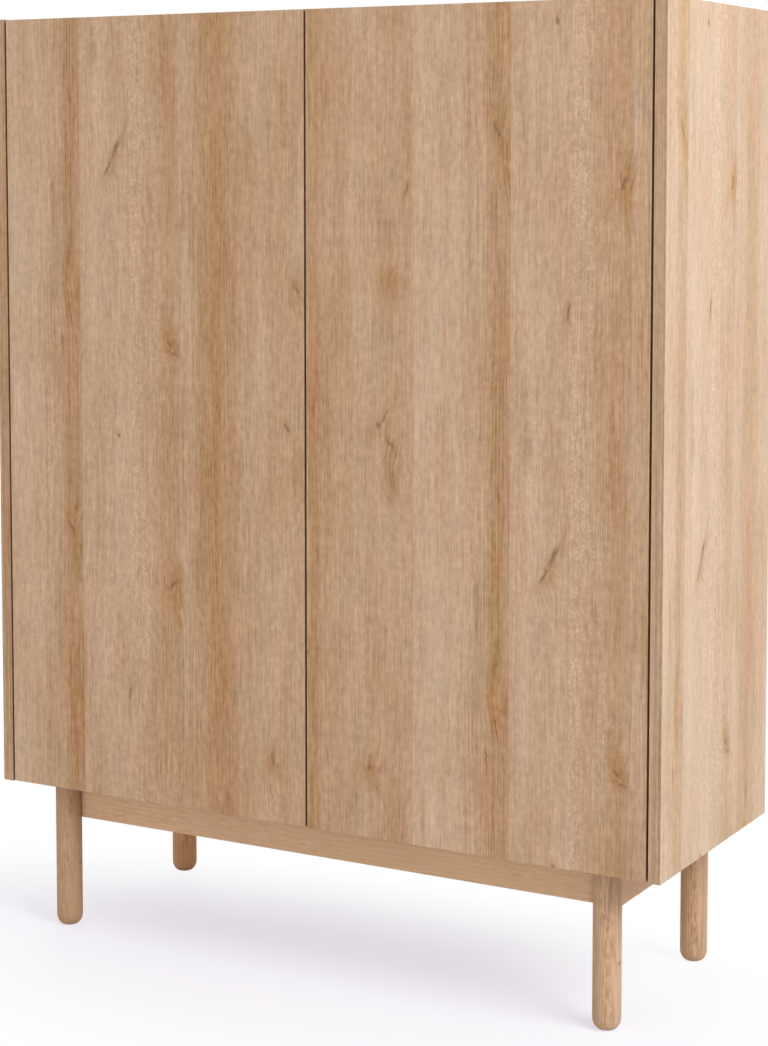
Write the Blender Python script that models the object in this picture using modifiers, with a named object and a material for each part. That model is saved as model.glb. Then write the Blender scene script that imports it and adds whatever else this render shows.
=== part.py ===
"""A two-door credenza, tall and shallow, on a low frame of round legs and rails.

The body is a box of tongued boards with full-height sides. The doors lie between the sides,
cover the edges of the top and bottom boards, and hang on concealed cup hinges whose hooked
links carry the door clear of the side as it turns. Push latches open them, so they have no
handles. The x axis runs along the front, y from front to back and z up, in metres.
"""
import math

import bmesh
import bpy
from mathutils import Matrix, Vector

# Body and boards
WIDTH = 1.100
DEPTH = 0.400
BODY_HEIGHT = 1.175
LEG_LENGTH = 0.225
BOARD = 0.018
EDGE_EASING = 0.0006

# Clearances shared by all pieces
SEAT = 0.0003
OVERRUN = 0.002
FUSE = 0.0002
WELD = 0.00001

# Tongues that join the boards, stopped short of the front and back edges
TONGUE_LENGTH = 0.0055
TONGUE_THICKNESS = 0.006
TONGUE_STOP = 0.010

# Doors
DOOR_THICKNESS = 0.016
DOOR_GAP = 0.003
DOOR_END_REVEAL = 0.001
DOOR_BACK_GAP = 0.0025

# Back boards, the grooves that hold them and the strip that joins them
BACK_THICKNESS = 0.003
GROOVE_INSET = 0.010
GROOVE_DEPTH = 0.006
STRIP_WIDTH = 0.020
STRIP_WALL = 0.0012

# Shelves, the same number on each side of the partition
SHELF_LEVELS = ("lower", "upper")
SHELF_SETBACK = 0.020

# Legs
LEG_RADIUS = 0.020
LEG_SIDE_INSET = 0.094
LEG_END_INSET = 0.041
FOOT_FLAT_RADIUS = 0.008
FOOT_RISE = 0.0165
LEG_SIDES = 32
FOOT_STEPS = 5

# Rails between the legs and the tenons on their ends
RAIL_HEIGHT = 0.0545
RAIL_THICKNESS = 0.014
END_RAIL_SETBACK = 0.005
SIDE_RAIL_SETBACK = 0.004
TENON_LENGTH = 0.014
TENON_THICKNESS = 0.006
TENON_HEIGHT = 0.038

# Corner blocks behind the rails, and the screws through them into the body
BLOCK_REACH = 0.062
BLOCK_TIP = 0.008
BLOCK_HEIGHT = 0.040
BASE_SCREW_INSET = 0.026
BASE_SCREW_BITE = 0.012
BASE_SCREW_RADIUS = 0.0025

# Screws
SCREW_RADIUS = 0.0019
SCREW_LENGTH = 0.012
HEAD_RADIUS_SHARE = 1.9
HEAD_HEIGHT_SHARE = 0.85
HEAD_CROWN_SHARE = 1.25

# Concealed hinges
HINGE_LEVELS = ("lower", "middle", "upper")
HINGE_FROM_DOOR_END = 0.100

# The cup in the door: a bored pot, a pocket for the link, a winged flange and a pin
CUP_BORE_RADIUS = 0.0175
CUP_BORE_DEPTH = 0.0123
CUP_EDGE_DISTANCE = 0.0035
CUP_FLOOR = 0.0008
CUP_RIM = 0.0012
CUP_LIP_TRIM = 0.0095
CUP_SIDES = 24
POCKET_LENGTH = 0.0296
POCKET_WIDTH = 0.0152
FLANGE_THICKNESS = 0.0014
FLANGE_LENGTH = 0.058
FLANGE_WIDTH = 0.015
FLANGE_OFFSET = 0.006
CUP_SCREW_SPACING = 0.048
CUP_PIN_INSET = 0.0028
CUP_PIN_DEPTH = 0.0065
CUP_PIN_RADIUS = 0.0011

# The arm, a cranked channel whose pin carries the link
ARM_PIN_FROM_SIDE = 0.030
ARM_PIN_BEHIND_DOOR = 0.012
ARM_PIN_RADIUS = 0.0015
ARM_REAR = 0.066
ARM_CRANK_START = 0.038
ARM_HEIGHT = 0.0062
ARM_WEB = 0.0013
ARM_WEB_TO_PIN = 0.0095
CHEEK_THICKNESS = 0.0015
NOSE_RADIUS = 0.0045
NOSE_STEPS = 6

# The link, a hooked strip with an eye at each end
LINK_THICKNESS = 0.0015
LINK_WIDTH = 0.013
LINK_SIDE_PLAY = 0.0005
CUP_EYE_RADIUS = 0.0023
ARM_EYE_RADIUS = 0.003
HOOK_HEEL_FROM_PIN = 0.0075
HOOK_HEEL_DROP = 0.00335
HOOK_BEND_FROM_PIN = 0.0135
HOOK_BEND_RISE = 0.004

# The mounting plate on the side: a winged base and a ridge that the arm slides over
PLATE_BASE = 0.002
PLATE_WING_SPAN = 0.052
PLATE_WING_LENGTH = 0.014
PLATE_SCREW_LINE = 0.037
PLATE_SCREW_SPACING = 0.032
RIDGE_HEIGHT = 0.0047
RIDGE_WIDTH = 0.010
RIDGE_FRONT = 0.028
RIDGE_REAR = 0.062

# Push latches under the top board and the plates on the doors that they push
LATCH_FROM_PARTITION = 0.026
LATCH_BASE_WIDTH = 0.034
LATCH_BASE_THICKNESS = 0.0025
LATCH_BODY_WIDTH = 0.014
LATCH_BODY_DROP = 0.014
LATCH_LENGTH = 0.062
LATCH_SCREW_INSET = 0.010
LATCH_SCREW_ACROSS = 0.012
PLUNGER_RADIUS = 0.004
PLUNGER_CLEARANCE = 0.0004
PLUNGER_LENGTH = 0.048
PLUNGER_STROKE_ROOM = 0.004
PLUNGER_TIP_SHARE = 0.6
STRIKE_RADIUS = 0.0075
STRIKE_THICKNESS = 0.001

# Round hardware
HARDWARE_SIDES = 8
FINE_SIDES = 16
ROUND_LIMIT = math.radians(40)

# Finishes as colour, roughness and metallic value
OAK_BOARD = ((0.47, 0.29, 0.16), 0.55, 0.0)
OAK_SOLID = ((0.50, 0.30, 0.16), 0.60, 0.0)
BACK_BOARD = ((0.50, 0.36, 0.23), 0.70, 0.0)
NICKEL = ((0.62, 0.61, 0.58), 0.30, 1.0)
ZINC = ((0.55, 0.56, 0.57), 0.45, 1.0)
GREY_PLASTIC = ((0.42, 0.42, 0.41), 0.50, 0.0)
WHITE_PLASTIC = ((0.75, 0.74, 0.71), 0.50, 0.0)

# Levels and faces that follow from the sizes above
BODY_BOTTOM = LEG_LENGTH
BODY_TOP = LEG_LENGTH + BODY_HEIGHT
INNER_BOTTOM = BODY_BOTTOM + BOARD
INNER_TOP = BODY_TOP - BOARD
FRONT = -DEPTH / 2
BACK = DEPTH / 2
SIDE_FACE = WIDTH / 2 - BOARD
DOOR_BACK = FRONT + DOOR_THICKNESS
BODY_FRONT = DOOR_BACK + DOOR_BACK_GAP
BACK_REAR = BACK - GROOVE_INSET
BACK_FRONT = BACK_REAR - BACK_THICKNESS
PARTITION_REAR = BACK_FRONT - SEAT - STRIP_WALL - SEAT

X_AXIS = Vector((1, 0, 0))
Y_AXIS = Vector((0, 1, 0))
Z_AXIS = Vector((0, 0, 1))
SIDES = (("left", -1), ("right", 1))
ENDS = (("front", -1), ("rear", 1))


def start_scene():
    """Empty the scene and give it one collection for the parts and one for the cutters."""
    for old in list(bpy.data.objects):
        bpy.data.objects.remove(old, do_unlink=True)
    homes = []
    for name in ("credenza", "cutters"):
        home = bpy.data.collections.new(name)
        bpy.context.scene.collection.children.link(home)
        homes.append(home)
    return homes


PARTS, CUTTERS = start_scene()


def dress(part, finish):
    """Give a part a material of its own."""
    colour, roughness, metallic = finish
    material = bpy.data.materials.new(part.name + "_finish")
    material.use_nodes = True
    shader = material.node_tree.nodes["Principled BSDF"]
    shader.inputs["Base Color"].default_value = (*colour, 1)
    shader.inputs["Roughness"].default_value = roughness
    shader.inputs["Metallic"].default_value = metallic
    part.data.materials.append(material)


def placed(name, mesh, place, finish):
    """Put a mesh in the scene: as a part if it has a finish, and as a cutter if it has none."""
    mesh.shade_smooth()
    mesh.set_sharp_from_angle(angle=ROUND_LIMIT)
    made = bpy.data.objects.new(name, mesh)
    made.location = place
    if finish is None:
        CUTTERS.objects.link(made)
        made.hide_render = True
        made.display_type = "WIRE"
    else:
        PARTS.objects.link(made)
        dress(made, finish)
    return made


def evaluated_mesh(guide):
    """The mesh that a guide object makes, welded, after which the guide is removed."""
    bpy.context.scene.collection.objects.link(guide)
    evaluated = guide.evaluated_get(bpy.context.evaluated_depsgraph_get())
    mesh = bpy.data.meshes.new_from_object(evaluated)
    bpy.data.objects.remove(guide, do_unlink=True)
    shape = bmesh.new()
    shape.from_mesh(mesh)
    bmesh.ops.remove_doubles(shape, verts=shape.verts, dist=WELD)
    shape.to_mesh(mesh)
    shape.free()
    mesh.materials.clear()
    return mesh


def corners(low, high, spread=0.0):
    """The lowest and highest corner of the box between two points, spread on every side."""
    room = Vector((spread, spread, spread))
    return Vector(map(min, low, high)) - room, Vector(map(max, low, high)) + room


def block(name, low, high, finish=None, spread=0.0):
    """A square block between two opposite corners."""
    low, high = corners(low, high, spread)
    shape = bmesh.new()
    bmesh.ops.create_cube(shape, size=1, matrix=Matrix.Diagonal((*(high - low), 1)))
    mesh = bpy.data.meshes.new(name)
    shape.to_mesh(mesh)
    shape.free()
    return placed(name, mesh, (low + high) / 2, finish)


def board(name, low, high):
    """A veneered board with its edges just eased."""
    made = block(name, low, high, OAK_BOARD)
    easing = made.modifiers.new("eased edges", "BEVEL")
    easing.width = EDGE_EASING
    easing.segments = 1
    return made


def rod(name, radius, length, place, along, finish=None, sides=HARDWARE_SIDES):
    """A round rod centred on a place, along a direction."""
    shape = bmesh.new()
    bmesh.ops.create_cone(
        shape, cap_ends=True, segments=sides, radius1=radius, radius2=radius, depth=length
    )
    mesh = bpy.data.meshes.new(name)
    shape.to_mesh(mesh)
    shape.free()
    made = placed(name, mesh, place, finish)
    made.rotation_euler = Z_AXIS.rotation_difference(along).to_euler()
    return made


def turned(name, profile, place, along, finish=None, sides=HARDWARE_SIDES):
    """A turned piece: (radius, height) pairs from the top down, spun about a direction."""
    outline = bpy.data.meshes.new(name)
    points = [(radius, 0, height) for radius, height in profile]
    outline.from_pydata(points, [(i, i + 1) for i in range(len(points) - 1)], [])
    guide = bpy.data.objects.new(name, outline)
    spin = guide.modifiers.new("turned", "SCREW")
    spin.axis = "Z"
    spin.steps = sides
    spin.render_steps = sides
    spin.use_merge_vertices = True
    spin.merge_threshold = WELD
    made = placed(name, evaluated_mesh(guide), place, finish)
    made.rotation_euler = Z_AXIS.rotation_difference(along).to_euler()
    return made


def plan_plate(name, outline, bottom, top, finish=None):
    """A flat outline of (x, y) points seen from above, between two levels."""
    curve = bpy.data.curves.new(name, "CURVE")
    curve.dimensions = "2D"
    curve.fill_mode = "BOTH"
    curve.extrude = (top - bottom) / 2
    line = curve.splines.new("POLY")
    line.points.add(len(outline) - 1)
    for point, (x, y) in zip(line.points, outline):
        point.co = (x, y, 0, 1)
    line.use_cyclic_u = True
    guide = bpy.data.objects.new(name, curve)
    return placed(name, evaluated_mesh(guide), (0, 0, (bottom + top) / 2), finish)


def combine(part, others, operation):
    """Cut other shapes out of a part, or join them to it."""
    for other in others:
        change = part.modifiers.new(operation.lower() + " " + other.name, "BOOLEAN")
        change.operation = operation
        change.object = other
        change.solver = "EXACT"


def cut(part, *cutters):
    combine(part, cutters, "DIFFERENCE")


def join(part, *pieces):
    combine(part, pieces, "UNION")


def housed(part, name, low, high, *receivers):
    """A tongue right through a part, and the housing it needs in the parts that receive it."""
    join(part, block(name, low, high))
    housing = block(name + "_housing", low, high, spread=SEAT)
    for receiver in receivers:
        cut(receiver, housing)


def repeat(part, count, step):
    """Repeat a cutter in a row, as separate solids."""
    row = part.modifiers.new("row", "ARRAY")
    row.use_relative_offset = False
    row.use_constant_offset = True
    row.constant_offset_displace = part.rotation_euler.to_matrix().transposed() @ Vector(step)
    row.count = count
    row.use_merge_vertices = False


def pivot(name, place):
    """An empty on a joint's axis."""
    made = bpy.data.objects.new(name, None)
    made.empty_display_size = BOARD
    made.location = place
    PARTS.objects.link(made)
    return made


def hang(part, on):
    """Let a part turn with a pivot, where the part now is."""
    part.parent = on
    part.matrix_parent_inverse = Matrix.Translation(-on.location)


def screw(name, place, along, radius=SCREW_RADIUS, length=SCREW_LENGTH, finish=None):
    """A pan-headed screw, with its head's underside at a place and its head facing along."""
    head = radius * HEAD_RADIUS_SHARE
    crown = radius * HEAD_CROWN_SHARE
    height = radius * HEAD_HEIGHT_SHARE
    profile = [
        (0, height), (crown, height), (head, 0), (radius, 0), (radius, -length), (0, -length)
    ]
    return turned(name, profile, place, along, finish)


def screw_hole(name, place, along, radius=SCREW_RADIUS, length=SCREW_LENGTH):
    """The hole that a screw's shank needs, from its head's underside to past its tip."""
    wide = radius + SEAT
    profile = [(0, 0), (wide, 0), (wide, -length - SEAT), (0, -length - SEAT)]
    return turned(name, profile, place, along)


def make_boards():
    """Sides, top, bottom and partition, tongued together."""
    boards = {}
    for side, sign in SIDES:
        name = side + "_side_panel"
        boards[name] = board(
            name, (sign * SIDE_FACE, FRONT, BODY_BOTTOM), (sign * WIDTH / 2, BACK, BODY_TOP)
        )
    reach = SIDE_FACE - SEAT
    tongue_reach = SIDE_FACE + TONGUE_LENGTH
    tongue_front, tongue_rear = BODY_FRONT + TONGUE_STOP, BACK_FRONT - TONGUE_STOP
    sides = (boards["left_side_panel"], boards["right_side_panel"])
    for name, level in (("top", INNER_TOP), ("bottom", BODY_BOTTOM)):
        made = board(name + "_panel", (-reach, BODY_FRONT, level), (reach, BACK, level + BOARD))
        middle = level + BOARD / 2
        housed(
            made, name + "_tongue",
            (-tongue_reach, tongue_front, middle - TONGUE_THICKNESS / 2),
            (tongue_reach, tongue_rear, middle + TONGUE_THICKNESS / 2), *sides,
        )
        boards[name + "_panel"] = made
    partition = board(
        "centre_partition",
        (-BOARD / 2, BODY_FRONT, INNER_BOTTOM + SEAT),
        (BOARD / 2, PARTITION_REAR, INNER_TOP - SEAT),
    )
    housed(
        partition, "partition_tongue",
        (-TONGUE_THICKNESS / 2, tongue_front, INNER_BOTTOM - TONGUE_LENGTH),
        (TONGUE_THICKNESS / 2, tongue_rear, INNER_TOP + TONGUE_LENGTH),
        boards["top_panel"], boards["bottom_panel"],
    )
    boards["centre_partition"] = partition
    return boards


def make_back(boards):
    """Two thin back boards in grooves, joined behind the partition by an H-shaped strip."""
    held = GROOVE_DEPTH - SEAT
    for side, sign in SIDES:
        block(
            side + "_back_panel",
            (sign * (STRIP_WALL / 2 + SEAT), BACK_FRONT, INNER_BOTTOM - held),
            (sign * (SIDE_FACE + held), BACK_REAR, INNER_TOP + held),
            BACK_BOARD,
        )
        cut(boards[side + "_side_panel"], block(
            side + "_groove",
            (sign * (SIDE_FACE - OVERRUN), BACK_FRONT - SEAT, INNER_BOTTOM - GROOVE_DEPTH),
            (sign * (SIDE_FACE + GROOVE_DEPTH), BACK_REAR + SEAT, INNER_TOP + GROOVE_DEPTH),
        ))
    for name, face, away in (("top", INNER_TOP, 1), ("bottom", INNER_BOTTOM, -1)):
        cut(boards[name + "_panel"], block(
            name + "_groove",
            (-SIDE_FACE - OVERRUN, BACK_FRONT - SEAT, face - away * OVERRUN),
            (SIDE_FACE + OVERRUN, BACK_REAR + SEAT, face + away * GROOVE_DEPTH),
        ))
    flange, web = STRIP_WIDTH / 2, STRIP_WALL / 2
    near, far = BACK_FRONT - SEAT, BACK_REAR + SEAT
    outline = [
        (-flange, near - STRIP_WALL), (flange, near - STRIP_WALL), (flange, near), (web, near),
        (web, far), (flange, far), (flange, far + STRIP_WALL), (-flange, far + STRIP_WALL),
        (-flange, far), (-web, far), (-web, near), (-flange, near),
    ]
    plan_plate(
        "back_joint_strip", outline, INNER_BOTTOM + SEAT, INNER_TOP - SEAT, WHITE_PLASTIC
    )


def make_shelves(boards):
    """Shelves at even spaces, tongued into the sides and the partition."""
    number = len(SHELF_LEVELS)
    clear = (INNER_TOP - INNER_BOTTOM - number * BOARD) / (number + 1)
    front = BODY_FRONT + SHELF_SETBACK
    for side, sign in SIDES:
        for step, level in enumerate(SHELF_LEVELS):
            underside = INNER_BOTTOM + clear + step * (clear + BOARD)
            middle = underside + BOARD / 2
            name = side + "_" + level + "_shelf"
            shelf = board(
                name, (sign * (BOARD / 2 + SEAT), front, underside),
                (sign * (SIDE_FACE - SEAT), PARTITION_REAR, underside + BOARD),
            )
            housed(
                shelf, name + "_tongue",
                (sign * (BOARD / 2 - TONGUE_LENGTH), front + TONGUE_STOP,
                 middle - TONGUE_THICKNESS / 2),
                (sign * (SIDE_FACE + TONGUE_LENGTH), PARTITION_REAR - TONGUE_STOP,
                 middle + TONGUE_THICKNESS / 2),
                boards[side + "_side_panel"], boards["centre_partition"],
            )


def leg_profile(top):
    """Straight leg with a rounded foot that ends in a small flat."""
    rounding = LEG_RADIUS - FOOT_FLAT_RADIUS
    profile = [(0, top), (LEG_RADIUS, top)]
    for step in range(FOOT_STEPS + 1):
        angle = math.pi / 2 * step / FOOT_STEPS
        profile.append((
            FOOT_FLAT_RADIUS + rounding * math.cos(angle), FOOT_RISE * (1 - math.sin(angle))
        ))
    profile.append((0, 0))
    return profile


def make_base(bottom_panel):
    """Round legs, rails coped and tenoned into them, and screwed corner blocks."""
    leg_x = WIDTH / 2 - LEG_SIDE_INSET
    leg_y = DEPTH / 2 - LEG_END_INSET
    top = BODY_BOTTOM - SEAT
    rail_bottom = top - RAIL_HEIGHT
    side_outer = leg_x + LEG_RADIUS - SIDE_RAIL_SETBACK
    side_inner = side_outer - RAIL_THICKNESS
    side_middle = (side_inner + side_outer) / 2
    end_outer = leg_y - END_RAIL_SETBACK
    end_inner = end_outer - RAIL_THICKNESS
    end_middle = (end_inner + end_outer) / 2

    legs, copes = {}, {}
    cope = LEG_RADIUS + SEAT
    for end, along_y in ENDS:
        for side, along_x in SIDES:
            corner = end + "_" + side
            place = (along_x * leg_x, along_y * leg_y, 0)
            legs[corner] = turned(
                corner + "_leg", leg_profile(top), place, Z_AXIS, OAK_SOLID, LEG_SIDES
            )
            post = [(0, BODY_BOTTOM), (cope, BODY_BOTTOM), (cope, 0), (0, 0)]
            copes[corner] = turned(corner + "_cope", post, place, Z_AXIS, None, LEG_SIDES)

    # Rails: the front and rear ones lie behind the legs' middles, the side ones near their outsides
    tenon_low = rail_bottom + (RAIL_HEIGHT - TENON_HEIGHT) / 2
    tenon_high = tenon_low + TENON_HEIGHT
    half = TENON_THICKNESS / 2
    end_reach = leg_x - math.sqrt(LEG_RADIUS ** 2 - (end_middle - leg_y) ** 2) + TENON_LENGTH
    side_reach = leg_y - math.sqrt(LEG_RADIUS ** 2 - (side_middle - leg_x) ** 2) + TENON_LENGTH
    for end, along_y in ENDS:
        rail = block(
            end + "_rail", (-leg_x, along_y * end_inner, rail_bottom),
            (leg_x, along_y * end_outer, top), OAK_SOLID,
        )
        cut(rail, copes[end + "_left"], copes[end + "_right"])
        housed(
            rail, end + "_tenon", (-end_reach, along_y * end_middle - half, tenon_low),
            (end_reach, along_y * end_middle + half, tenon_high),
            legs[end + "_left"], legs[end + "_right"],
        )
    for side, along_x in SIDES:
        rail = block(
            side + "_rail", (along_x * side_inner, -leg_y, rail_bottom),
            (along_x * side_outer, leg_y, top), OAK_SOLID,
        )
        cut(rail, copes["front_" + side], copes["rear_" + side])
        housed(
            rail, side + "_tenon", (along_x * side_middle - half, -side_reach, tenon_low),
            (along_x * side_middle + half, side_reach, tenon_high),
            legs["front_" + side], legs["rear_" + side],
        )

    # Corner blocks, each with a screw up into the bottom board
    corner_x, corner_y = side_inner - SEAT, end_inner - SEAT
    shape = [
        (corner_x, corner_y), (corner_x - BLOCK_REACH, corner_y),
        (corner_x - BLOCK_REACH, corner_y - BLOCK_TIP),
        (corner_x - BLOCK_TIP, corner_y - BLOCK_REACH), (corner_x, corner_y - BLOCK_REACH),
    ]
    head_level = top - BLOCK_HEIGHT - SEAT
    length = SEAT + BLOCK_HEIGHT + SEAT + BASE_SCREW_BITE
    for end, along_y in ENDS:
        for side, along_x in SIDES:
            corner = end + "_" + side
            outline = [(along_x * x, along_y * y) for x, y in shape]
            piece = plan_plate(
                corner + "_corner_block", outline, top - BLOCK_HEIGHT, top, OAK_SOLID
            )
            place = (
                along_x * (corner_x - BASE_SCREW_INSET), along_y * (corner_y - BASE_SCREW_INSET),
                head_level,
            )
            size = (BASE_SCREW_RADIUS, length)
            screw(corner + "_base_screw", place, -Z_AXIS, *size, ZINC)
            hole = screw_hole(corner + "_base_hole", place, -Z_AXIS, *size)
            cut(piece, copes[corner], hole)
            cut(bottom_panel, hole)


def make_doors(boards):
    """Two doors, each on a row of hinges with one common axis at the arms and one at the cups."""
    door_width = (2 * SIDE_FACE - 3 * DOOR_GAP) / 2
    door_bottom = BODY_BOTTOM + DOOR_END_REVEAL
    door_top = BODY_TOP - DOOR_END_REVEAL
    first = door_bottom + HINGE_FROM_DOOR_END
    rise = (door_top - HINGE_FROM_DOOR_END - first) / (len(HINGE_LEVELS) - 1)
    cup_pin_in = DOOR_GAP + CUP_EDGE_DISTANCE + CUP_BORE_RADIUS - POCKET_LENGTH / 2 + CUP_PIN_INSET
    for side, sign in SIDES:
        outer = SIDE_FACE - DOOR_GAP
        door = board(
            side + "_door_panel", (sign * (outer - door_width), FRONT, door_bottom),
            (sign * outer, DOOR_BACK, door_top),
        )
        link_pivot = pivot(side + "_link_pivot", (
            sign * (SIDE_FACE - ARM_PIN_FROM_SIDE), DOOR_BACK + ARM_PIN_BEHIND_DOOR, first
        ))
        door_pivot = pivot(side + "_door_pivot", (
            sign * (SIDE_FACE - cup_pin_in), DOOR_BACK - CUP_PIN_DEPTH, first
        ))
        hang(door_pivot, link_pivot)
        hang(door, door_pivot)
        for step, height in enumerate(HINGE_LEVELS):
            hinge = Hinge(side + "_" + height, sign, first + step * rise, cup_pin_in)
            hinge.make_plate(boards[side + "_side_panel"])
            hinge.make_arm()
            hang(hinge.make_link(), link_pivot)
            hang(hinge.make_cup(door), door_pivot)
        make_latch(side, sign, boards["top_panel"], door_pivot)


class Hinge:
    """One concealed hinge, measured from the side's inner face and behind the door's back."""

    def __init__(self, name, sign, level, cup_pin_in):
        self.name = name
        self.sign = sign
        self.level = level
        self.cup_pin = (cup_pin_in, -CUP_PIN_DEPTH)
        self.arm_pin = (ARM_PIN_FROM_SIDE, ARM_PIN_BEHIND_DOOR)
        self.plate_top = SEAT + PLATE_BASE

    def at(self, from_side, behind, height=0.0):
        return Vector((
            self.sign * (SIDE_FACE - from_side), DOOR_BACK + behind, self.level + height
        ))

    def plan(self, points):
        return [self.at(*point).xy for point in points]

    def make_plate(self, wall):
        """Mounting plate, with its two screws in one piece with it."""
        top = self.plate_top
        wing = PLATE_WING_LENGTH / 2
        plate = block(
            self.name + "_hinge_plate",
            self.at(SEAT, PLATE_SCREW_LINE - wing, -PLATE_WING_SPAN / 2),
            self.at(top, PLATE_SCREW_LINE + wing, PLATE_WING_SPAN / 2), NICKEL,
        )
        join(plate, block(
            self.name + "_ridge", self.at(SEAT + FUSE, RIDGE_FRONT, -RIDGE_WIDTH / 2),
            self.at(top + RIDGE_HEIGHT, RIDGE_REAR, RIDGE_WIDTH / 2),
        ))
        place = self.at(top - FUSE, PLATE_SCREW_LINE, -PLATE_SCREW_SPACING / 2)
        off_wall = -self.sign * X_AXIS
        screws = screw(self.name + "_plate_screws", place, off_wall)
        holes = screw_hole(self.name + "_plate_holes", place, off_wall)
        for made in (screws, holes):
            repeat(made, 2, (0, 0, PLATE_SCREW_SPACING))
        join(plate, screws)
        cut(wall, holes)

    def make_arm(self):
        """Two cheeks, cranked out to the pin, and a web between them over the ridge."""
        foot = self.plate_top + SEAT
        top = foot + ARM_HEIGHT
        pin = Vector(self.arm_pin)
        crank = Vector((top, ARM_CRANK_START))
        reach = pin - crank
        lean = math.atan2(reach.y, reach.x) + math.asin(NOSE_RADIUS / reach.length)
        cheek = [(foot, ARM_REAR), (top, ARM_REAR), tuple(crank)]
        for step in range(NOSE_STEPS + 1):
            angle = lean + math.pi / 2 - math.pi * step / NOSE_STEPS
            cheek.append(
                (pin.x + NOSE_RADIUS * math.cos(angle), pin.y + NOSE_RADIUS * math.sin(angle))
            )
        cheek.append((foot, ARM_CRANK_START - ARM_HEIGHT))

        # The web's line runs just inside the cheeks' tops and ends short of the link's eye
        along = Vector((math.cos(lean), math.sin(lean)))
        out = Vector((-along.y, along.x))
        web_top = top - FUSE
        high_end = pin + (NOSE_RADIUS - FUSE) * out - ARM_WEB_TO_PIN * along
        turn = high_end + (web_top - high_end.x) / along.x * along
        low_end = high_end - ARM_WEB * out
        low_turn = low_end + (web_top - ARM_WEB - low_end.x) / along.x * along
        web = [
            (web_top - ARM_WEB, ARM_REAR - FUSE), (web_top, ARM_REAR - FUSE), turn, high_end,
            low_end, low_turn,
        ]
        inner = LINK_WIDTH / 2 + LINK_SIDE_PLAY
        arm = plan_plate(
            self.name + "_hinge_arm", self.plan(web), self.level - inner - FUSE,
            self.level + inner + FUSE, NICKEL,
        )
        for name, low in (("_lower_cheek", -inner - CHEEK_THICKNESS), ("_upper_cheek", inner)):
            join(arm, plan_plate(
                self.name + name, self.plan(cheek), self.level + low,
                self.level + low + CHEEK_THICKNESS,
            ))
        pin_length = 2 * (inner + CHEEK_THICKNESS - FUSE)
        join(arm, rod(
            self.name + "_arm_pin", ARM_PIN_RADIUS, pin_length, self.at(*pin), Z_AXIS
        ))

    def make_link(self):
        """A bent strip with an eye at each end, hooked so that it passes round the cup's lip."""
        start = Vector(self.cup_pin)
        heel = start + Vector((HOOK_HEEL_FROM_PIN, -HOOK_HEEL_DROP))
        bend = start + Vector((HOOK_BEND_FROM_PIN, HOOK_BEND_RISE))
        place = self.at(*self.arm_pin)
        half = LINK_WIDTH / 2 - FUSE
        shape = bmesh.new()
        line = [
            shape.verts.new(self.at(*point, -half) - place)
            for point in (start, heel, bend, self.arm_pin)
        ]
        edges = [shape.edges.new(pair) for pair in zip(line, line[1:])]
        raised = bmesh.ops.extrude_edge_only(shape, edges=edges)["geom"]
        moved = [item for item in raised if isinstance(item, bmesh.types.BMVert)]
        bmesh.ops.translate(shape, verts=moved, vec=2 * half * Z_AXIS)
        mesh = bpy.data.meshes.new(self.name + "_hinge_link")
        shape.to_mesh(mesh)
        shape.free()
        link = placed(self.name + "_hinge_link", mesh, place, NICKEL)
        strip = link.modifiers.new("strip thickness", "SOLIDIFY")
        strip.thickness = LINK_THICKNESS
        strip.offset = 0
        strip.use_even_offset = True
        eyes = (
            ("_cup_eye", self.cup_pin, CUP_EYE_RADIUS, CUP_PIN_RADIUS),
            ("_arm_eye", self.arm_pin, ARM_EYE_RADIUS, ARM_PIN_RADIUS),
        )
        for name, spot, eye_radius, pin_radius in eyes:
            join(link, rod(self.name + name, eye_radius, LINK_WIDTH, self.at(*spot), Z_AXIS))
        for name, spot, eye_radius, pin_radius in eyes:
            cut(link, rod(
                self.name + name + "_bore", pin_radius + SEAT, LINK_WIDTH + OVERRUN,
                self.at(*spot), Z_AXIS,
            ))
        return link

    def make_cup(self, door):
        """Cup in the door, with its flange, its two screws and the pin across its pocket."""
        centre = DOOR_GAP + CUP_EDGE_DISTANCE + CUP_BORE_RADIUS
        pocket = centre - POCKET_LENGTH / 2
        bottom = SEAT - CUP_BORE_DEPTH
        cup = rod(
            self.name + "_hinge_cup", CUP_BORE_RADIUS - SEAT, CUP_RIM - bottom,
            self.at(centre, (CUP_RIM + bottom) / 2), Y_AXIS, NICKEL, CUP_SIDES,
        )
        flange_line = centre + FLANGE_OFFSET
        flange_top = SEAT + FLANGE_THICKNESS
        join(cup, block(
            self.name + "_flange",
            self.at(flange_line - FLANGE_WIDTH / 2, SEAT, -FLANGE_LENGTH / 2),
            self.at(flange_line + FLANGE_WIDTH / 2, flange_top, FLANGE_LENGTH / 2),
        ))
        beyond = CUP_BORE_RADIUS + OVERRUN
        lip = block(
            self.name + "_lip_trim", self.at(0, 0, -beyond),
            self.at(pocket + CUP_LIP_TRIM, flange_top + OVERRUN, beyond),
        )
        hollow = block(
            self.name + "_pocket", self.at(pocket, bottom + CUP_FLOOR, -POCKET_WIDTH / 2),
            self.at(pocket + POCKET_LENGTH, flange_top + OVERRUN, POCKET_WIDTH / 2),
        )
        cut(cup, lip, hollow)
        join(cup, rod(
            self.name + "_cup_pin", CUP_PIN_RADIUS, POCKET_WIDTH + 2 * FUSE,
            self.at(*self.cup_pin), Z_AXIS,
        ))
        place = self.at(flange_line, flange_top - FUSE, -CUP_SCREW_SPACING / 2)
        screws = screw(self.name + "_cup_screws", place, Y_AXIS)
        holes = screw_hole(self.name + "_cup_holes", place, Y_AXIS)
        for made in (screws, holes):
            repeat(made, 2, (0, 0, CUP_SCREW_SPACING))
        join(cup, screws)
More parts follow.
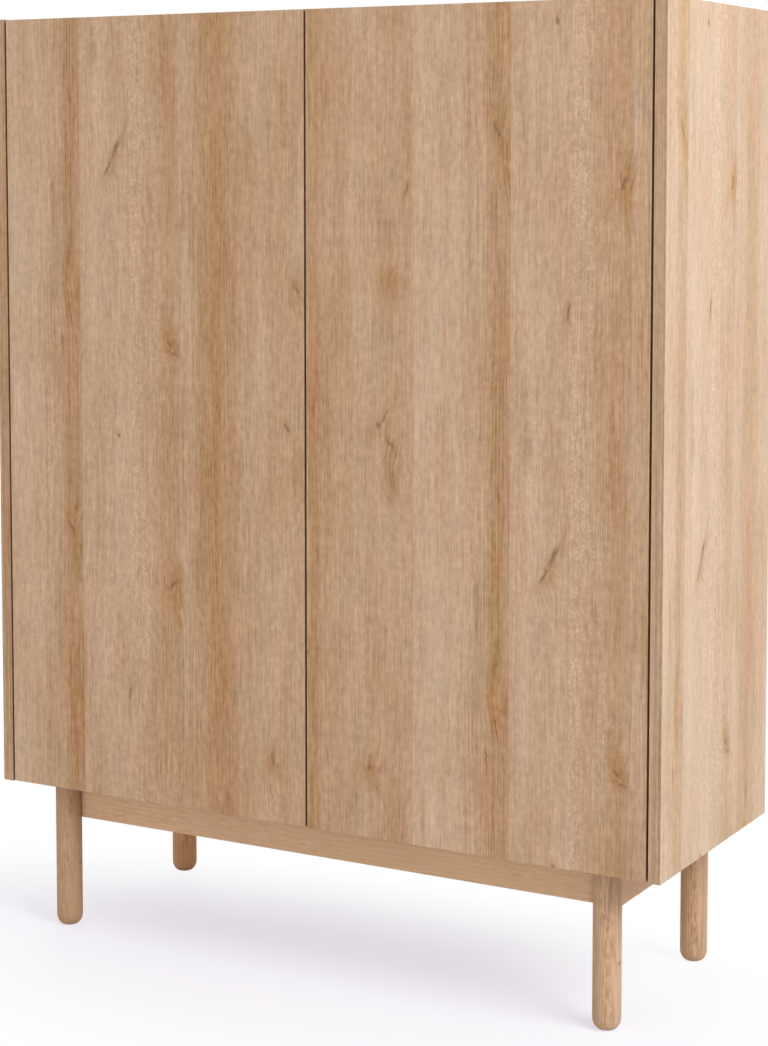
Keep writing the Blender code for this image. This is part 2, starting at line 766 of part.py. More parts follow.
        bore = rod(
            self.name + "_cup_bore", CUP_BORE_RADIUS, CUP_BORE_DEPTH + OVERRUN,
            self.at(centre, (OVERRUN - CUP_BORE_DEPTH) / 2), Y_AXIS, None, CUP_SIDES,
        )
        cut(door, bore, holes)
        return cup


def make_latch(side, sign, top_panel, door_pivot):
    """Push latch screwed under the top board, its plunger, and the plate on the door."""
    ceiling = INNER_TOP - SEAT
    rear = BODY_FRONT + LATCH_LENGTH
    middle = sign * (BOARD / 2 + LATCH_FROM_PARTITION)
    level = ceiling - LATCH_BODY_DROP / 2
    strike_back = DOOR_BACK + SEAT + STRIKE_THICKNESS
    strike = rod(
        side + "_strike_plate", STRIKE_RADIUS, STRIKE_THICKNESS,
        (middle, strike_back - STRIKE_THICKNESS / 2, level), Y_AXIS, NICKEL, FINE_SIDES,
    )
    hang(strike, door_pivot)

    tip = (middle, strike_back + SEAT, level)
    crown = PLUNGER_RADIUS * PLUNGER_TIP_SHARE
    profile = [
        (0, 0), (crown, 0), (PLUNGER_RADIUS, crown - PLUNGER_RADIUS),
        (PLUNGER_RADIUS, -PLUNGER_LENGTH), (0, -PLUNGER_LENGTH),
    ]
    turned(side + "_latch_plunger", profile, tip, -Y_AXIS, WHITE_PLASTIC, FINE_SIDES)

    half_base, half_body = LATCH_BASE_WIDTH / 2, LATCH_BODY_WIDTH / 2
    housing = block(
        side + "_latch_housing", (middle - half_base, BODY_FRONT, ceiling),
        (middle + half_base, rear, ceiling - LATCH_BASE_THICKNESS), GREY_PLASTIC,
    )
    join(housing, block(
        side + "_latch_body", (middle - half_body, BODY_FRONT + FUSE, ceiling - FUSE),
        (middle + half_body, rear - FUSE, ceiling - LATCH_BODY_DROP),
    ))
    room = PLUNGER_RADIUS + PLUNGER_CLEARANCE
    deep = -PLUNGER_LENGTH - PLUNGER_STROKE_ROOM
    bore = [(0, 0), (room, 0), (room, deep), (0, deep)]
    cut(housing, turned(side + "_plunger_bore", bore, tip, -Y_AXIS, None, FINE_SIDES))
    place = (
        middle - LATCH_SCREW_ACROSS, BODY_FRONT + LATCH_SCREW_INSET,
        ceiling - LATCH_BASE_THICKNESS + FUSE,
    )
    screws = screw(side + "_latch_screws", place, -Z_AXIS)
    holes = screw_hole(side + "_latch_holes", place, -Z_AXIS)
    for made in (screws, holes):
        repeat(made, 2, (2 * LATCH_SCREW_ACROSS, 0, 0))
        repeat(made, 2, (0, LATCH_LENGTH - 2 * LATCH_SCREW_INSET, 0))
    join(housing, screws)
    cut(top_panel, holes)


def main():
    boards = make_boards()
    make_back(boards)
    make_shelves(boards)
    make_base(boards["bottom_panel"])
    make_doors(boards)


main()
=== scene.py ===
"""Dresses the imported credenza: pale oak boards, smooth turned legs and plated hinges.

The x axis runs along the front, y from front to back and z up, in metres.
"""
import math

import bpy
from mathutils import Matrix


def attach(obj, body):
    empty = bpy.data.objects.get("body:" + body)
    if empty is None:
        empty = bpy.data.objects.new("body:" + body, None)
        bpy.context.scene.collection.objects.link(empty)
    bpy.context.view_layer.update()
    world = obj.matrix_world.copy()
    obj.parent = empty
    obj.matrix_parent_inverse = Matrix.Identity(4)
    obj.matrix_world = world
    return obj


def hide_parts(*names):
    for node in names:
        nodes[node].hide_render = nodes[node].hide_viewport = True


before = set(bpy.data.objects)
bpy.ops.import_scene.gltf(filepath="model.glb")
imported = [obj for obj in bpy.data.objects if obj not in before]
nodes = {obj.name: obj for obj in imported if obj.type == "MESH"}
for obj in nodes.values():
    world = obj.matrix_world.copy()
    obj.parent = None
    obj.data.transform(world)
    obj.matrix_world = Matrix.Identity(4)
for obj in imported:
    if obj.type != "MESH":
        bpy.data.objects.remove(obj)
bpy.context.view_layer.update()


# The studio: a camera at chest height to the right of the front, looking down a little, a broad
# lamp high on the right that lights the side more than the doors, and two weaker ones, in front
# for the doors and behind on the left, so that the back can be seen too.
CAMERA_PLACE = (1.7218, -3.0404, 1.1858)
CAMERA_TILT, CAMERA_TURN = 4.367, 29.284
CAMERA_LENS = 80.617
CAMERA_SHIFT = -0.175
BODY_MIDDLE = (0, 0, 0.7)
bpy.ops.object.camera_add(
    location=CAMERA_PLACE,
    rotation=(math.radians(90 - CAMERA_TILT), 0, math.radians(CAMERA_TURN)),
)
camera = bpy.context.object
camera.data.lens = CAMERA_LENS
camera.data.shift_y = CAMERA_SHIFT
bpy.context.scene.camera = camera
bpy.context.scene.view_settings.view_transform = "Standard"


def lamp(name, place, size, power, colour):
    """A square soft lamp at a place, turned to the middle of the body."""
    bpy.ops.object.light_add(type="AREA", location=place)
    made = bpy.context.object
    made.name = name
    aim = [goal - start for goal, start in zip(BODY_MIDDLE, place)]
    level = math.hypot(aim[0], aim[1])
    made.rotation_euler = (
        math.atan2(level, -aim[2]), 0, math.atan2(aim[1], aim[0]) - math.pi / 2
    )
    made.data.size = size
    made.data.energy = power
    made.data.color = colour


lamp("key_lamp", (4.375, -1.25, 4.075), 3.0, 288, (0.94, 1.0, 1.07))
lamp("front_lamp", (-1.2, -4.9, 1.0), 3.0, 47, (1.0, 0.98, 0.95))
lamp("back_lamp", (-2.4, 3.6, 2.8), 2.6, 55, (1.0, 1.0, 1.0))


def shading(tree, kind, inputs, **settings):
    """A shader node with its settings made and its inputs filled, from a value or a socket."""
    made = tree.nodes.new("ShaderNode" + kind)
    for name, value in settings.items():
        setattr(made, name, value)
    for key, value in inputs.items():
        if isinstance(value, bpy.types.NodeSocket):
            tree.links.new(value, made.inputs[key])
        else:
            made.inputs[key].default_value = value
    return made


def calculate(tree, operation, *values):
    """The result of a Math node on values or sockets."""
    made = shading(tree, "Math", dict(enumerate(values)), operation=operation)
    return made.outputs[0]


# The air of the studio: even, faintly warm light from all round, which reads as plain white
# wherever the camera or a reflection looks past the object.
AIR_LIGHT = 0.50
AIR_COLOUR = (1.0, 0.98, 0.95, 1)
WHITE = (1, 1, 1, 1)
world = bpy.data.worlds.new("studio_air")
bpy.context.scene.world = world
world.use_nodes = True
tree = world.node_tree
tree.nodes.clear()
rays = shading(tree, "LightPath", {})
seen = calculate(
    tree, "MAXIMUM", rays.outputs["Is Camera Ray"],
    calculate(tree, "MAXIMUM", rays.outputs["Is Glossy Ray"], rays.outputs["Is Transmission Ray"]),
)
light = shading(tree, "Background", {"Color": AIR_COLOUR, "Strength": AIR_LIGHT})
plain = shading(tree, "Background", {"Color": WHITE, "Strength": 1.0})
mixed = shading(tree, "MixShader", {0: seen, 1: light.outputs[0], 2: plain.outputs[0]})
shading(tree, "OutputWorld", {"Surface": mixed.outputs[0]})

# The floor: matt white, with a faint cool shade left under the object, fading into the white air
# some way out. Only the camera sees that fade, and the object gets the plain floor's light.
FLOOR_HALF = 7.0
FLOOR_GLOW = (0.597, 0.585, 0.668, 1)
FLOOR_SHADE = (0.36, 0.355, 0.305, 1)
FLOOR_BOUNCE = (0.78, 0.78, 0.78, 1)
# The shade is an oval: its middle, its half length and half width, and the fade in parts of these
SHADE_MIDDLE = (0.01, -0.17, 0)
SHADE_REACH = (0.80, 0.34, 1)
FADE_START, FADE_END = 0.40, 1.45
bpy.ops.mesh.primitive_plane_add(size=2 * FLOOR_HALF, location=(0, 0, 0))
floor = bpy.context.object
floor.name = "studio_floor"
paint = bpy.data.materials.new("floor_white")
paint.use_nodes = True
tree = paint.node_tree
tree.nodes.clear()
place = shading(tree, "TexCoord", {})
round_it = shading(
    tree, "Mapping",
    {"Vector": place.outputs["Object"], "Location": SHADE_MIDDLE, "Scale": SHADE_REACH},
    vector_type="TEXTURE",
)
reach = shading(
    tree, "VectorMath", {0: round_it.outputs[0]}, operation="LENGTH"
).outputs["Value"]
fade = shading(
    tree, "MapRange", {0: reach, 1: FADE_START, 2: FADE_END, 3: 0.0, 4: 1.0},
    interpolation_type="SMOOTHSTEP",
).outputs[0]
glow = shading(tree, "Emission", {"Color": FLOOR_GLOW, "Strength": 1.0})
shade = shading(tree, "BsdfDiffuse", {"Color": FLOOR_SHADE})
near = shading(tree, "AddShader", {0: glow.outputs[0], 1: shade.outputs[0]})
far = shading(tree, "Emission", {"Color": WHITE, "Strength": 1.0})
shown = shading(tree, "MixShader", {0: fade, 1: near.outputs[0], 2: far.outputs[0]})
bounce = shading(tree, "BsdfDiffuse", {"Color": FLOOR_BOUNCE})
rays = shading(tree, "LightPath", {})
both = shading(
    tree, "MixShader",
    {0: rays.outputs["Is Camera Ray"], 1: bounce.outputs[0], 2: shown.outputs[0]},
)
shading(tree, "OutputMaterial", {"Surface": both.outputs[0]})
floor.data.materials.append(paint)


# The doors: chipboard faced with a printed oak decor of glued upright staves, some pale and some
# golden, with small knots. Their upright edges are painted dark brown as painted shade for the
# gaps between and beside the doors. Both are cut from the same decor, which repeats across and
# along, the left one from further up.
DECOR_WIDTH = 0.718
DECOR_LENGTH = 1.145
DECOR_FOOT = 0.240
# How far left and how far down the decor is moved for each door
LEFT_DOOR_CUT = (0.593, -0.550)
RIGHT_DOOR_CUT = (-0.125, 0.0)
# How far from the middle a door's near and far edges are, then the y in front of which only the
# boards' front edges lie, and the y just behind the doors where the painted gap shade ends
DOOR_NEAR, DOOR_FAR = 0.0015, 0.529
FRONT_EDGE = -0.1996
RECESS = -0.179
PALE_OAK = (0.567, 0.381, 0.253)
GOLDEN_OAK = (0.413, 0.219, 0.094)
PINK_TINT = (1.020, 0.985, 0.975)
OLIVE_TINT = (0.985, 1.000, 0.975)
KNOT_BROWN = (0.200, 0.094, 0.040)
# Painted shade: a dark brown put on the edges in the gaps round the doors and in the creases where
# the front rail meets the legs, and how near an edge a face must be to get it
PAINTED_SHADE_BROWN = (0.145, 0.060, 0.020)
GAP_SHADE_DEPTH = 0.0003
# Each stave: how speckled and how closely lined it is, from 0 to 1, then places across it, in
# metres from the decor's left edge, with how golden it is there
STAVES = (
    (0.3, 0.5, (0.000, 0.25), (0.030, 0.10), (0.088, 0.20)),
    (1.0, 0.5, (0.091, 0.10), (0.125, 0.45), (0.150, 0.65), (0.176, 0.70)),
    (0.2, 1.0, (0.179, 0.25), (0.210, 0.55)),
    (0.3, 0.5, (0.212, 0.75), (0.243, 1.00), (0.262, 0.80), (0.284, 0.50), (0.345, 0.34)),
    (0.4, 0.4, (0.350, 0.50), (0.394, 0.38), (0.401, 1.05), (0.412, 0.98), (0.421, 0.60),
     (0.492, 0.28)),
    (0.4, 0.5, (0.500, 0.42), (0.545, 0.58), (0.567, 0.36)),
    (0.2, 0.2, (0.570, 0.05), (0.605, 0.00), (0.642, 0.15)),
    (0.4, 1.0, (0.650, 0.25), (0.682, 0.48), (0.694, 0.95), (0.716, 0.80)),
)
# Knots and dark flecks: place across and up the decor, half length, half width, lean in degrees
KNOTS = (
    (0.698, 1.225, 0.010, 0.0014, 28), (0.165, 1.156, 0.007, 0.0026, -35),
    (0.513, 0.816, 0.0036, 0.0032, 0), (0.523, 0.830, 0.010, 0.0010, -32),
    (0.532, 0.792, 0.008, 0.0012, 42), (0.066, 0.654, 0.012, 0.0022, -27),
    (0.052, 0.626, 0.009, 0.0013, -38), (0.160, 0.368, 0.006, 0.0026, 30),
    (0.165, 0.354, 0.006, 0.0011, 75), (0.498, 0.330, 0.004, 0.0022, -20),
    (0.068, 1.372, 0.0035, 0.0020, 12), (0.363, 0.254, 0.005, 0.0022, 40),
    (0.338, 0.912, 0.005, 0.0013, 10), (0.243, 0.278, 0.004, 0.0014, -8),
    (0.683, 0.365, 0.010, 0.0009, 4), (0.558, 1.148, 0.007, 0.0010, -10),
    (0.086, 0.985, 0.009, 0.0014, -6), (0.380, 0.452, 0.005, 0.0016, 30),
)
# Golden patches: the same facts, for soft stains in the wood round and below the knots
STAINS = (
    (0.707, 1.205, 0.075, 0.012, 4), (0.172, 1.140, 0.050, 0.013, 0),
    (0.533, 1.018, 0.030, 0.022, 20), (0.533, 0.752, 0.048, 0.017, 6),
    (0.060, 0.625, 0.045, 0.013, -24), (0.692, 0.455, 0.050, 0.017, 0),
    (0.500, 0.322, 0.032, 0.016, 0), (0.380, 0.452, 0.048, 0.018, 0),
    (0.383, 1.338, 0.060, 0.018, 0), (0.334, 0.902, 0.040, 0.012, 0),
    (0.163, 0.375, 0.030, 0.014, 10), (0.020, 0.800, 0.120, 0.010, 0),
)


def new_finish(name, roughness, ior=1.5, metallic=0.0):
    """A material of its own, its tree and its shader with the plain values set."""
    made = bpy.data.materials.new(name)
    made.use_nodes = True
    shader = made.node_tree.nodes["Principled BSDF"]
    shader.inputs["Roughness"].default_value = roughness
    shader.inputs["IOR"].default_value = ior
    shader.inputs["Metallic"].default_value = metallic
    return made, made.node_tree, shader


def turned_point(tree, run):
    """The point on the piece as across, depth and along the grain, for grain along x, y or z."""
    spot = shading(tree, "TexCoord", {}).outputs["Object"]
    split = shading(tree, "SeparateXYZ", {0: spot}).outputs
    order = {"X": (1, 2, 0), "Y": (2, 0, 1), "Z": (0, 1, 2)}[run]
    return [split[number] for number in order]


def grain(tree, across, depth, along, fine, long, detail=2.0, rough=0.55, twist=0.0):
    """Noise drawn out along the grain: so many changes a metre across it and along it."""
    scaled = shading(tree, "CombineXYZ", {
        0: calculate(tree, "MULTIPLY", across, fine),
        1: calculate(tree, "MULTIPLY", depth, fine),
        2: calculate(tree, "MULTIPLY", along, long),
    }).outputs[0]
    made = shading(tree, "TexNoise", {
        "Vector": scaled, "Scale": 1.0, "Detail": detail, "Roughness": rough, "Distortion": twist,
    })
    return made.outputs["Fac"]


def ranged(tree, value, low, high, to_low=0.0, to_high=1.0, kind="SMOOTHSTEP"):
    """A value brought from one range to another."""
    made = shading(
        tree, "MapRange", {0: value, 1: low, 2: high, 3: to_low, 4: to_high},
        interpolation_type=kind,
    )
    return made.outputs[0]


def coloured(tree, share, first, second, how="MIX"):
    """Two colours, or colour sockets, blended by a share."""
    ends = [end if isinstance(end, bpy.types.NodeSocket) else (*end, 1) for end in (first, second)]
    made = shading(
        tree, "Mix", {0: share, 6: ends[0], 7: ends[1]}, data_type="RGBA", blend_type=how
    )
    return made.outputs[2]


def nearest_mark(tree, point, marks):
    """How far a point of the decor is from the nearest of these marks, 1 being a mark's edge."""
    closest = None
    for across, up, half_length, half_width, lean in marks:
        local = shading(
            tree, "Mapping",
            {"Vector": point, "Location": (across, up, 0),
             "Rotation": (0, 0, math.radians(lean)), "Scale": (half_width, half_length, 1)},
            vector_type="TEXTURE",
        ).outputs[0]
        away = shading(tree, "VectorMath", {0: local}, operation="LENGTH").outputs["Value"]
        closest = away if closest is None else calculate(tree, "MINIMUM", closest, away)
    return closest


def decor(
    name, run, start, foot, golden=0.0, tint=(1, 1, 1), marked=True, band=0.0, lively=1,
    painted_gap_shade=None,
):
    """Oak decor with its staves along x or z, moved so far left and so far down.

    Golden is how much more golden the whole board is, the tint multiplies its colours, and a
    marked board has the knots and stains. A band is how much more golden the strip glued on the
    front edge is, and lively how much the pattern stands out. The painted gap shade is the lowest
    and highest x of a board whose faces there are painted dark brown, to just behind the doors, as
    painted shade in the gaps.
    """
    made, tree, shader = new_finish(name, 0.52, 1.46)
    first, depth, along = turned_point(tree, run)
    across = calculate(tree, "ADD", calculate(tree, "ADD", first, depth), start)
    upward = calculate(tree, "ADD", along, foot)
    in_decor = calculate(tree, "WRAP", across, DECOR_WIDTH, 0.0)

    # The staves, each with its gold, its speckle and its lines
    ramp = shading(tree, "ValToRGB", {0: calculate(tree, "DIVIDE", in_decor, DECOR_WIDTH)})
    elements = ramp.color_ramp.elements
    elements.remove(elements[1])
    first_stop = True
    for speckled, lined, *places in STAVES:
        for spot, gold in places:
            element = elements[0] if first_stop else elements.new(spot / DECOR_WIDTH)
            element.position = spot / DECOR_WIDTH
            element.color = (gold, speckled, lined, 1)
            first_stop = False
    gold, speckled, lined = shading(tree, "SeparateColor", {0: ramp.outputs[0]}).outputs
    gold = calculate(tree, "MULTIPLY_ADD", gold, lively, golden)
    if band:
        on_edge = calculate(tree, "LESS_THAN", depth if run == "Z" else first, FRONT_EDGE)
        gold = calculate(tree, "MULTIPLY_ADD", on_edge, band, gold)

    # Slow changes along the boards, which bend the grain and vary how golden it is
    drift = grain(tree, across, 0.0, upward, 7.0, 1.3, 1.0)
    streak = grain(tree, across, 0.0, upward, 55.0, 2.2, 2.0)
    bend = calculate(tree, "MULTIPLY", calculate(tree, "SUBTRACT", drift, 0.5), 0.016)

    # Knots, and the golden stains round them, where the grain swerves
    if marked:
        ripple = shading(tree, "TexNoise", {
            "Vector": shading(tree, "CombineXYZ", {0: across, 1: upward}).outputs[0],
            "Scale": 110.0, "Detail": 2.0,
        }).outputs["Color"]
        spot = shading(tree, "CombineXYZ", {
            0: in_decor,
            1: calculate(tree, "WRAP", upward, DECOR_FOOT + DECOR_LENGTH, DECOR_FOOT),
        }).outputs[0]
        shift = shading(
            tree, "VectorMath", {0: ripple, 1: (0.5, 0.5, 0.5)}, operation="SUBTRACT"
        ).outputs[0]
        shift = shading(
            tree, "VectorMath", {0: shift, 1: (0.006, 0.014, 0)}, operation="MULTIPLY"
        ).outputs[0]
        spot = shading(tree, "VectorMath", {0: spot, 1: shift}, operation="ADD").outputs[0]
        stain = ranged(tree, nearest_mark(tree, spot, STAINS), 0.0, 1.6, 1.0, 0.0)
        gold = calculate(tree, "MULTIPLY_ADD", stain, 0.50, gold)
        bend = calculate(tree, "MULTIPLY_ADD", stain, 0.010, bend)
        away = nearest_mark(tree, spot, KNOTS)
        knot = ranged(tree, away, 0.3, 2.1, 1.0, 0.0)
        gold = calculate(tree, "ADD", gold, ranged(tree, away, 1.0, 7.0, 0.28, 0.0))
    bent = calculate(tree, "ADD", across, bend)

    # The grain: hairs, pores, ridges and long lines, and the mottle and speckle across them
    hair = grain(tree, bent, 0.0, upward, 900.0, 28.0, 1.0)
    fine = grain(tree, bent, 0.0, upward, 430.0, 13.0, 2.0)
    ridge = grain(tree, bent, 0.0, upward, 190.0, 9.0, 2.0)
    line = grain(tree, bent, 0.0, upward, 330.0, 3.0, 1.0)
    speck = grain(tree, bent, 0.0, upward, 330.0, 210.0, 1.0, 0.5, 0.6)
    mottle = grain(tree, bent, 0.0, upward, 130.0, 75.0, 2.0)
    blotch = grain(tree, across, 0.0, upward, 36.0, 17.0, 2.0)
    tone = gold
    cloud = grain(tree, across, 0.7, upward, 24.0, 5.0, 1.0)
    uneven = ((drift, 0.45), (streak, 0.80), (cloud, 0.80), (ridge, 0.40), (blotch, 0.55))
    for noise, weight in uneven:
        tone = calculate(
            tree, "MULTIPLY_ADD", calculate(tree, "SUBTRACT", noise, 0.5), weight * lively, tone
        )
    share = ranged(tree, tone, -0.15, 1.15, 0.0, 1.0, "LINEAR")
    colour = coloured(tree, share, [part * by for part, by in zip(PALE_OAK, tint)],
                      [part * by for part, by in zip(GOLDEN_OAK, tint)])
    blush = ranged(tree, grain(tree, across, 0.4, upward, 30.0, 5.0, 1.0), 0.34, 0.66)
    colour = coloured(tree, 1.0, colour, coloured(tree, blush, PINK_TINT, OLIVE_TINT), "MULTIPLY")

    weights = ((hair, 0.20), (fine, 0.20), (ridge, 0.13), (mottle, 0.19), (blotch, 0.14))
    shade = -0.5 * lively * sum(weight for _, weight in weights)
    for noise, weight in weights:
        shade = calculate(tree, "MULTIPLY_ADD", noise, weight * lively, shade)
    patch = calculate(tree, "MULTIPLY", ranged(tree, tone, 0.15, 0.55, 1.0, 0.2),
                      ranged(tree, mottle, 0.35, 0.60, 0.35, 1.2))
    patch = calculate(tree, "MULTIPLY", patch, speckled)
    speck = calculate(tree, "MULTIPLY", calculate(tree, "SUBTRACT", speck, 0.46), patch)
    shade = calculate(tree, "MULTIPLY_ADD", speck, 0.30, shade)
    dark_line = calculate(tree, "MULTIPLY", ranged(tree, line, 0.46, 0.68), lined)
    shade = calculate(tree, "MULTIPLY_ADD", dark_line, -0.055, shade)
    if band:
        strip = grain(tree, first, 0.0, along, 260.0, 0.9, 1.0)
        strip = ranged(tree, strip, 0.40, 0.60, 0.016, -0.066)
        shade = calculate(tree, "MULTIPLY_ADD", on_edge, strip, shade)
    colour = coloured(tree, 1.0, colour, shading(tree, "CombineColor", {
        0: calculate(tree, "MULTIPLY", shade, 1.30), 1: shade,
        2: calculate(tree, "MULTIPLY", shade, 0.74),
    }).outputs[0], "ADD")
    if marked:
        colour = coloured(tree, calculate(tree, "MULTIPLY", knot, 0.80), colour, KNOT_BROWN)
    # Painted shade in the gaps: faces at the board's edges, in front of the recess, darkened
    # towards dark brown
    if painted_gap_shade:
        in_gap_shade = calculate(
            tree, "MAXIMUM", calculate(tree, "LESS_THAN", first, painted_gap_shade[0] + GAP_SHADE_DEPTH),
            calculate(tree, "GREATER_THAN", first, painted_gap_shade[1] - GAP_SHADE_DEPTH),
        )
        in_gap_shade = calculate(tree, "MULTIPLY", in_gap_shade, calculate(tree, "LESS_THAN", depth, RECESS))
        colour = coloured(tree, calculate(tree, "MULTIPLY", in_gap_shade, 0.6), colour, PAINTED_SHADE_BROWN)
    tree.links.new(colour, shader.inputs["Base Color"])

    bump = shading(tree, "Bump", {"Strength": 0.15, "Distance": 0.0008, "Height": shade})
    tree.links.new(bump.outputs[0], shader.inputs["Normal"])
    tree.links.new(
        ranged(tree, ridge, 0.3, 0.7, 0.47, 0.58, "LINEAR"), shader.inputs["Roughness"]
    )
    return made


def finish(node, material):
    """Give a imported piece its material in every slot."""
    slots = nodes[node].data.materials
    if not slots:
        slots.append(material)
    for number in range(len(slots)):
        slots[number] = material


finish("left_door_panel", decor(
    "left_door_oak", "Z", *LEFT_DOOR_CUT, painted_gap_shade=(-DOOR_FAR, -DOOR_NEAR)))
finish("right_door_panel", decor(
    "right_door_oak", "Z", *RIGHT_DOOR_CUT, painted_gap_shade=(DOOR_NEAR, DOOR_FAR)))


# The side panels: the same faced board, full height, with their front edges showing beside the
# doors. They are tongued to the top and bottom boards and grooved for the back. Their inner faces
# carry the same painted shade as the doors' edges, to just behind the doors, for the shade in the
# gaps. No piece reaches as far out as the x named last, so no shade is painted there.
SIDE_INNER = 0.532
NO_EDGE = 1.0
# The right side's paler, cooler tint is painted light: a lit copy of the decor for the side that
# the key lamp lights
finish("right_side_panel", decor(
    "right_side_oak", "Z", -0.425, 0.0, -0.05, (1.015, 1.073, 1.14), band=0.55,
    lively=0.80, painted_gap_shade=(SIDE_INNER, NO_EDGE),
))
finish("left_side_panel", decor(
    "left_side_oak", "Z", 0.480, -0.35, -0.02, band=0.15, lively=0.85,
    painted_gap_shade=(-NO_EDGE, -SIDE_INNER),
))


# The boards between the sides: top, bottom and partition, tongued together, and the shelves,
# tongued into the sides and the partition. The level boards have their staves along the width.
finish("top_panel", decor("top_oak", "X", -1.30, 0.2, -0.1, marked=False))
finish("bottom_panel", decor("bottom_oak", "X", 0.10, 0.6, marked=False))
finish("centre_partition", decor("partition_oak", "Z", 0.30, 0.1, marked=False))
shelf_oak = decor("shelf_oak", "X", 0.05, 0.3, marked=False)
for side in ("left", "right"):
    for level in ("lower", "upper"):
        finish(f"{side}_{level}_shelf", shelf_oak)


# The back: two thin fibreboards printed in a plainer pale oak, slid into grooves, and the beige
# plastic strip that joins them behind the partition.
back_print = decor("back_print", "Z", 0.20, 0.4, -0.20, marked=False)
back_print.node_tree.nodes["Principled BSDF"].inputs["IOR"].default_value = 1.40
for side in ("left", "right"):
    finish(f"{side}_back_panel", back_print)


def plastic(name, colour, roughness):
    """Moulded plastic with a faint satin grain."""
    made, tree, shader = new_finish(name, roughness, 1.49)
    spot = shading(tree, "TexCoord", {}).outputs["Object"]
    speck = shading(tree, "TexNoise", {"Vector": spot, "Scale": 1800.0, "Detail": 2.0}).outputs[0]
    cloud = shading(tree, "TexNoise", {"Vector": spot, "Scale": 40.0, "Detail": 1.0}).outputs[0]
    tint = ranged(tree, cloud, 0.3, 0.7, 0.96, 1.03, "LINEAR")
    colour = coloured(tree, 1.0, colour, shading(
        tree, "CombineColor", {0: tint, 1: tint, 2: tint}).outputs[0], "MULTIPLY")
    tree.links.new(colour, shader.inputs["Base Color"])
    bump = shading(tree, "Bump", {"Strength": 0.15, "Distance": 0.0002, "Height": speck})
    tree.links.new(bump.outputs[0], shader.inputs["Normal"])
    return made


finish("back_joint_strip", plastic("strip_beige", (0.60, 0.50, 0.37), 0.45))


# The legs: round oak posts with rounded feet, matt lacquered, mortised on two sides for the rails
# and glued to them. Their grain runs upright, with small flecks drawn out along it.
SOLID_PALE = (0.570, 0.352, 0.208)
SOLID_DARK = (0.385, 0.213, 0.107)
PORE_BROWN = (0.300, 0.165, 0.088)
LEG_RADIUS = 0.020
LEG_TOP = 0.2247
LEG_X, LEG_Y = 0.456, 0.159
FOOT_ROUNDING = 0.012
FOOT_RISE = 0.0165
TOP_EASING = 0.0006
END_FACE_INSET = 0.002
LEG_SIDES = 96
HEART_FROM_LEG = (0.055, -0.050)
RING_WIDTH = 0.0036
KNOT_REACH = (0.0060, 0.0060, 0.0040)
# The way across the band of flecks on the right-hand legs, which faces forwards and a little right
STRIPE_TURN = (0.93, 0.37)
# How light and how tinted each leg's oak is, which is painted light for how the light falls on
# each leg (the rear left one lighter and warmer), how bold its grain, and where it has a small
# knot
LEG_OAK_AND_PAINTED_LIGHT = {
    "front_left": ((0.92, 0.90, 0.87), 0.65, (-0.4363, -0.1560, 0.099)),
    "front_right": ((0.99, 1.01, 1.05), 1.15, (0.4759, -0.1610, 0.095)),
    "rear_left": ((1.34, 1.20, 1.02), 0.80, None),
    "rear_right": ((0.97, 0.97, 0.95), 1.15, None),
}
# Mortises: half width, foot and top, then how near each comes to the leg's middle and how far
# aside it lies, inwards for the front and rear rails and outwards for the side rails
MORTISE_HALF = 0.0033
MORTISE_FOOT, MORTISE_TOP = 0.17815, 0.21675
END_MORTISE_STOP, END_MORTISE_SHIFT = 0.0017, 0.012
SIDE_MORTISE_STOP, SIDE_MORTISE_SHIFT = 0.0035, 0.009
# How far from a glued joint the rail's painted shade begins, and how wide the painted dark line
# of shade in the crease beside it is
JOINT_SHADOW, JOINT_LINE = 0.014, 0.0035


